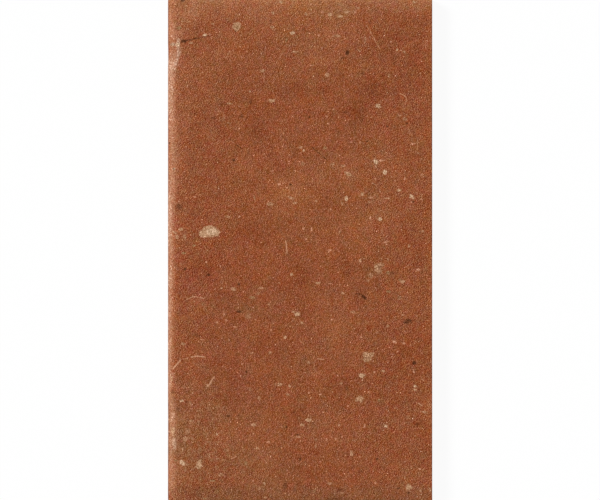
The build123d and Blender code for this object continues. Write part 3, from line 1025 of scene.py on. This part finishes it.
# The fired clay: levels of the body, with wear and painted highlights, flecks, scratches, cracks and holes
# laid over one another
def clayMaterial():
    material = bpy.data.materials.new("fired_clay_face")
    material.use_nodes = True
    tree = material.node_tree
    tree.nodes.clear()
    place = put(tree, "TexCoord").outputs["Object"]
    flakePick, flakeOther = grains(tree, place, clayLook["flake"])[1:]
    sandNear, sandPick = grains(tree, moved(tree, place, 0.2), clayLook["sand"])[:2]
    sandShare = spread(tree, sandNear, *clayLook["sandReach"])
    sandShare = maths(tree, "MULTIPLY", sandShare, maths(tree, "POWER", sandPick, clayLook["sandPower"]))
    grain = noise(tree, moved(tree, place, 0.9), clayLook["grain"], 0.0)
    levels = clayLevels(tree, place, grain, sandShare)
    film = noise(tree, moved(tree, place, 1.3), clayLook["limeSize"], 3.0, 0.6)
    filmShare = spread(tree, film, *clayLook["limeReach"], (0.0, clayLook["limeMost"]))
    filmShare = maths(tree, "MULTIPLY", field(tree, "lime"), filmShare)
    limeLevels = lean(tree, clayLook["lime"], swing(tree, grain, clayLook["grainLevels"]))
    levels = blend(tree, filmShare, levels, limeLevels)

    # The worn roll is paler, in grains, with its highlight and glints painted in
    wearAndHighlight = field(tree, "wearAndHighlight")
    wornShare = spread(tree, flakeOther, 0.0, 1.0, clayLook["wornShares"], smooth=False)
    wornShare = maths(tree, "MULTIPLY", wearAndHighlight, wornShare)
    wornLevels = lean(tree, clayLook["wornAndHighlight"], swing(tree, grain, clayLook["wornGrain"]))
    levels = blend(tree, wornShare, levels, wornLevels)
    beadNear, beadPick = grains(tree, moved(tree, place, 0.7), clayLook["beadSize"])[:2]
    beadShare = spread(tree, beadNear, *clayLook["beadReach"], (0.0, clayLook["beadMost"]))
    beadLuck = spread(tree, maths(tree, "ADD", beadPick, wearAndHighlight), *clayLook["beadChance"])
    beadShare = maths(tree, "MULTIPLY", beadLuck, beadShare)
    levels = blend(tree, beadShare, levels, clayLook["glintBead"])

    # Pale inclusions with ragged outlines, a thin ring of painted shade round the larger ones, and grains
    # inside
    ragged = swing(tree, noise(tree, place, clayLook["ragSize"], 2.0, 0.6), clayLook["ragPixels"])
    ragged = maths(tree, "ADD", ragged, swing(tree, flakeOther, clayLook["ragFlakes"]))
    texture = swing(tree, grain, clayLook["fleckGrain"])
    texture = maths(tree, "ADD", texture, swing(tree, flakePick, clayLook["fleckFlakes"]))
    cloud = noise(tree, place, clayLook["fleckCloudSize"], 2.0, 0.6)
    texture = maths(tree, "ADD", texture, swing(tree, cloud, clayLook["fleckCloud"]))
    fleckShade = maths(tree, "ADD", field(tree, "patch"), ragged)
    fleckShadeShare = spread(tree, fleckShade, *clayLook["fleckShadeReach"], (0.0, clayLook["fleckShadeMost"]))
    levels = blend(tree, fleckShadeShare, levels, clayLook["fleckShade"])
    for name, inside, look in (
        ("patch", field(tree, "patch"), "patchLook"), ("fleck", insideOval(tree, "fleck"), "fleckLook"),
    ):
        own = lean(tree, ramp(tree, field(tree, look), clayLook["fleckScale"]), texture)
        levels = blend(tree, markShare(tree, name, inside, ragged), levels, own)

    # Light scratches, dark cracks, smudges and holes
    for name, inside in (
        ("scratch", insideLine(tree, "scratch")), ("crack", insideLine(tree, "crack")),
        ("smudge", insideOval(tree, "smudge")), ("pit", insideOval(tree, "pit")),
    ):
        own = lean(tree, clayLook[name], swing(tree, grain, clayLook["markGrain"]))
        levels = blend(tree, markShare(tree, name, inside, ragged), levels, own)

    # The bare back is duller, and the cut edge has the saw's fine lines along it
    bareClouds = noise(tree, place, clayLook["bareCloudSize"], 3.0, 0.6)
    alongSaw = moved(tree, place, 0.0, clayLook["sawnStretch"])
    sawnLines = noise(tree, alongSaw, clayLook["sawnLineSize"], 3.0, 0.6)
    for name, pattern, patternLevels in (
        ("bare", bareClouds, clayLook["bareClouds"]), ("sawn", sawnLines, clayLook["sawnLines"]),
    ):
        own = lean(tree, clayLook[name + "Body"], swing(tree, flakePick, clayLook[name + "Flakes"]))
        own = lean(tree, own, swing(tree, pattern, patternLevels))
        share = maths(tree, "MULTIPLY", field(tree, name), clayLook[name + "Most"])
        levels = blend(tree, share, levels, own)

    roughness = spread(tree, flakeOther, 0.0, 1.0, clayLook["sparkleRough"], smooth=False)
    height = maths(tree, "MULTIPLY_ADD", sandShare, clayLook["sandHeight"], gritHeight(tree, place))
    bump = put(tree, "Bump", {"Strength": 1.0, "Distance": clayLook["gritHeight"], "Height": height})
    shader = put(tree, "BsdfPrincipled", {
        "Base Color": toLight(tree, levels),
        "Roughness": roughness,
        "Specular IOR Level": clayLook["specular"],
        "Normal": bump.outputs[0],
    })
    tree.links.new(shader.outputs[0], put(tree, "OutputMaterial").inputs["Surface"])
    print("fired clay", len(tree.nodes), "nodes")
    return material


ground = dict(size=3.0, gap=0.05 * millimetre, colour=(0.95, 0.95, 0.95, 1.0), glow=0.94)


# A white ground that the camera and mirrors see as white, less a little of the tile's shadow
def groundMaterial():
    material = bpy.data.materials.new("white_ground")
    material.use_nodes = True
    tree = material.node_tree
    tree.nodes.clear()
    path = put(tree, "LightPath")
    seen = maths(tree, "MAXIMUM", path.outputs["Is Camera Ray"], path.outputs["Is Glossy Ray"])
    seen = maths(tree, "MAXIMUM", seen, path.outputs["Is Transmission Ray"])
    plain = put(tree, "BsdfDiffuse", {"Color": ground["colour"]})
    white = put(tree, "Emission", {"Color": (1.0, 1.0, 1.0, 1.0), "Strength": 1.0})
    share = maths(tree, "MULTIPLY", seen, ground["glow"])
    mix = put(tree, "MixShader", {0: share, 1: plain.outputs[0], 2: white.outputs[0]})
    tree.links.new(mix.outputs[0], put(tree, "OutputMaterial").inputs["Surface"])
    return material


# One square, just under the tile's back
def buildGround():
    size, depth = ground["size"], low[2] - ground["gap"]
    mesh = bpy.data.meshes.new("ground")
    corners = [(-size, -size, depth), (size, -size, depth), (size, size, depth), (-size, size, depth)]
    mesh.from_pydata(corners, [], [(0, 1, 2, 3)])
    floor = bpy.data.objects.new("ground", mesh)
    bpy.context.scene.collection.objects.link(floor)
    mesh.materials.append(groundMaterial())
    print("ground", 2 * size, "metres square")
    return floor


studio = dict(
    towardsLight=(-0.663, 0.383, 0.643),  # the key light is up and to the left in the picture
    keyShare=0.70,  # of the light on the flat face
    keySoftness=np.radians(18),
    lens=400.0,  # millimetres, as the sensor is
    sensor=36.0,
    viewEnd=100.0,  # metres that the camera sees
)


# Key light and sky add up to one on the flat face,
# and the camera looks straight down from where the picture fits
def buildStudio():
    scene = bpy.context.scene
    towards = Vector(studio["towardsLight"]).normalized()
    lamp = bpy.data.lights.new("key", "SUN")
    lamp.energy = studio["keyShare"] * np.pi / towards.z
    lamp.angle = studio["keySoftness"]
    key = bpy.data.objects.new("key", lamp)
    key.rotation_mode = "QUATERNION"
    key.rotation_quaternion = towards.to_track_quat("Z", "Y")
    scene.collection.objects.link(key)

    world = bpy.data.worlds.new("studio")
    scene.world = world
    world.use_nodes = True
    tree = world.node_tree
    tree.nodes.clear()
    path = put(tree, "LightPath")
    seen = maths(tree, "MAXIMUM", path.outputs["Is Camera Ray"], path.outputs["Is Glossy Ray"])
    seen = maths(tree, "MAXIMUM", seen, path.outputs["Is Transmission Ray"])
    strength = spread(tree, seen, 0.0, 1.0, (1 - studio["keyShare"], 1.0), smooth=False)
    sky = put(tree, "Background", {"Color": (1.0, 1.0, 1.0, 1.0), "Strength": strength})
    tree.links.new(sky.outputs[0], put(tree, "OutputWorld").inputs["Surface"])

    lens = bpy.data.cameras.new("camera")
    lens.sensor_width = studio["sensor"]
    lens.lens = studio["lens"]
    lens.clip_end = studio["viewEnd"]
    camera = bpy.data.objects.new("camera", lens)
    viewWidth = picture["width"] * picture["pixel"]
    camera.location = (0, 0, float(high[2] + viewWidth * lens.lens / lens.sensor_width))
    scene.collection.objects.link(camera)
    scene.camera = camera
    scene.view_settings.view_transform = "Standard"
    print("camera height", round(camera.location.z, 3))


tile = buildTile()
tile.data.materials.append(clayMaterial())
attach(tile, "root")
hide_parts("tile_body")
buildGround()
buildStudio()
